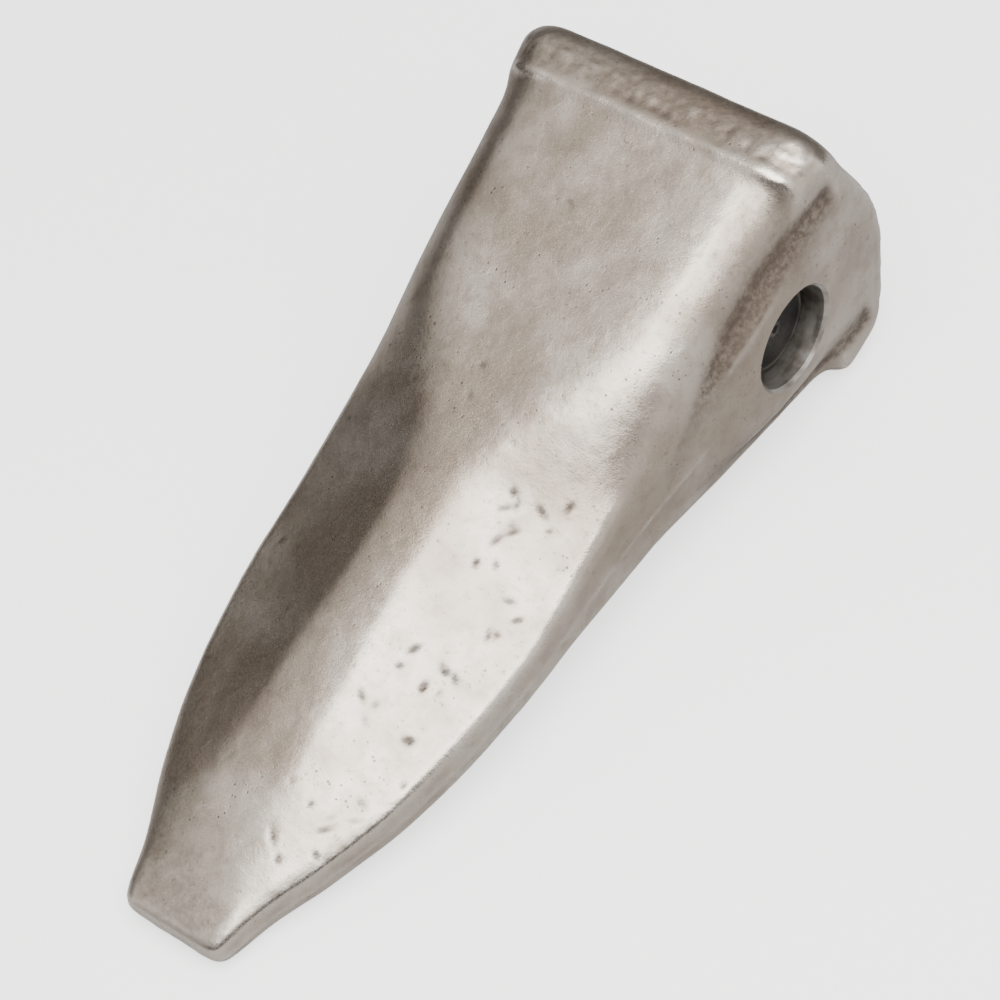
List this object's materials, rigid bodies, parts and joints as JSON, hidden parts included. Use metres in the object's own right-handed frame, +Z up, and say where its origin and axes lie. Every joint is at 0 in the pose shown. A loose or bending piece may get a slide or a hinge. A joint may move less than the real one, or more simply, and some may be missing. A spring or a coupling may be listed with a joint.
{
  "type": "excavator bucket tooth",
  "caption": "Forged excavator bucket tooth with a tapered nose pocket, a two-sided fluted chisel point and a side lock pin held by a rubber-backed strip.",
  "frame": {"origin": "under the middle of the tooth's bounding box, on the surface that the tooth lies on", "axes": "+X along the lock pin's axis, across the tooth; -Y towards the chisel point, +Y out of the pocket's mouth; +Z up, with the tooth lying on its rim and on the blade's lower rib, so that its middle plane leans 10 degrees point down"},
  "size_m": [0.0898, 0.234, 0.0859],
  "materials": {
    "forged_steel": "shot-blasted and lightly brushed forging skin, thin brown oxide in the hollows, bare and brighter on the edges",
    "pin_steel": "dark phosphated bar steel, faint turning marks, worn brighter on the chamfers",
    "spring_rubber": "matt black rubber",
    "strip_steel": "ground steel, lengthwise grain"
  },
  "bodies": {
    "tooth": {"tooth_body": "forged_steel"},
    "pin": {"lock_pin": "pin_steel", "lock_rubber": "spring_rubber"},
    "strip": {"lock_strip": "strip_steel"}
  },
  "joints": [
    {"name": "pin_slide", "type": "slide", "parent": "tooth", "child": "pin", "axis": [1, 0, 0], "range_m": [-0.09, 0.09]},
    {"name": "strip_press", "type": "slide", "parent": "pin", "child": "strip", "axis": [0, 0, -1], "range_m": [0, 0.001], "stiffness_N_per_m": 40000, "deforming": ["lock_rubber"]}
  ]
}
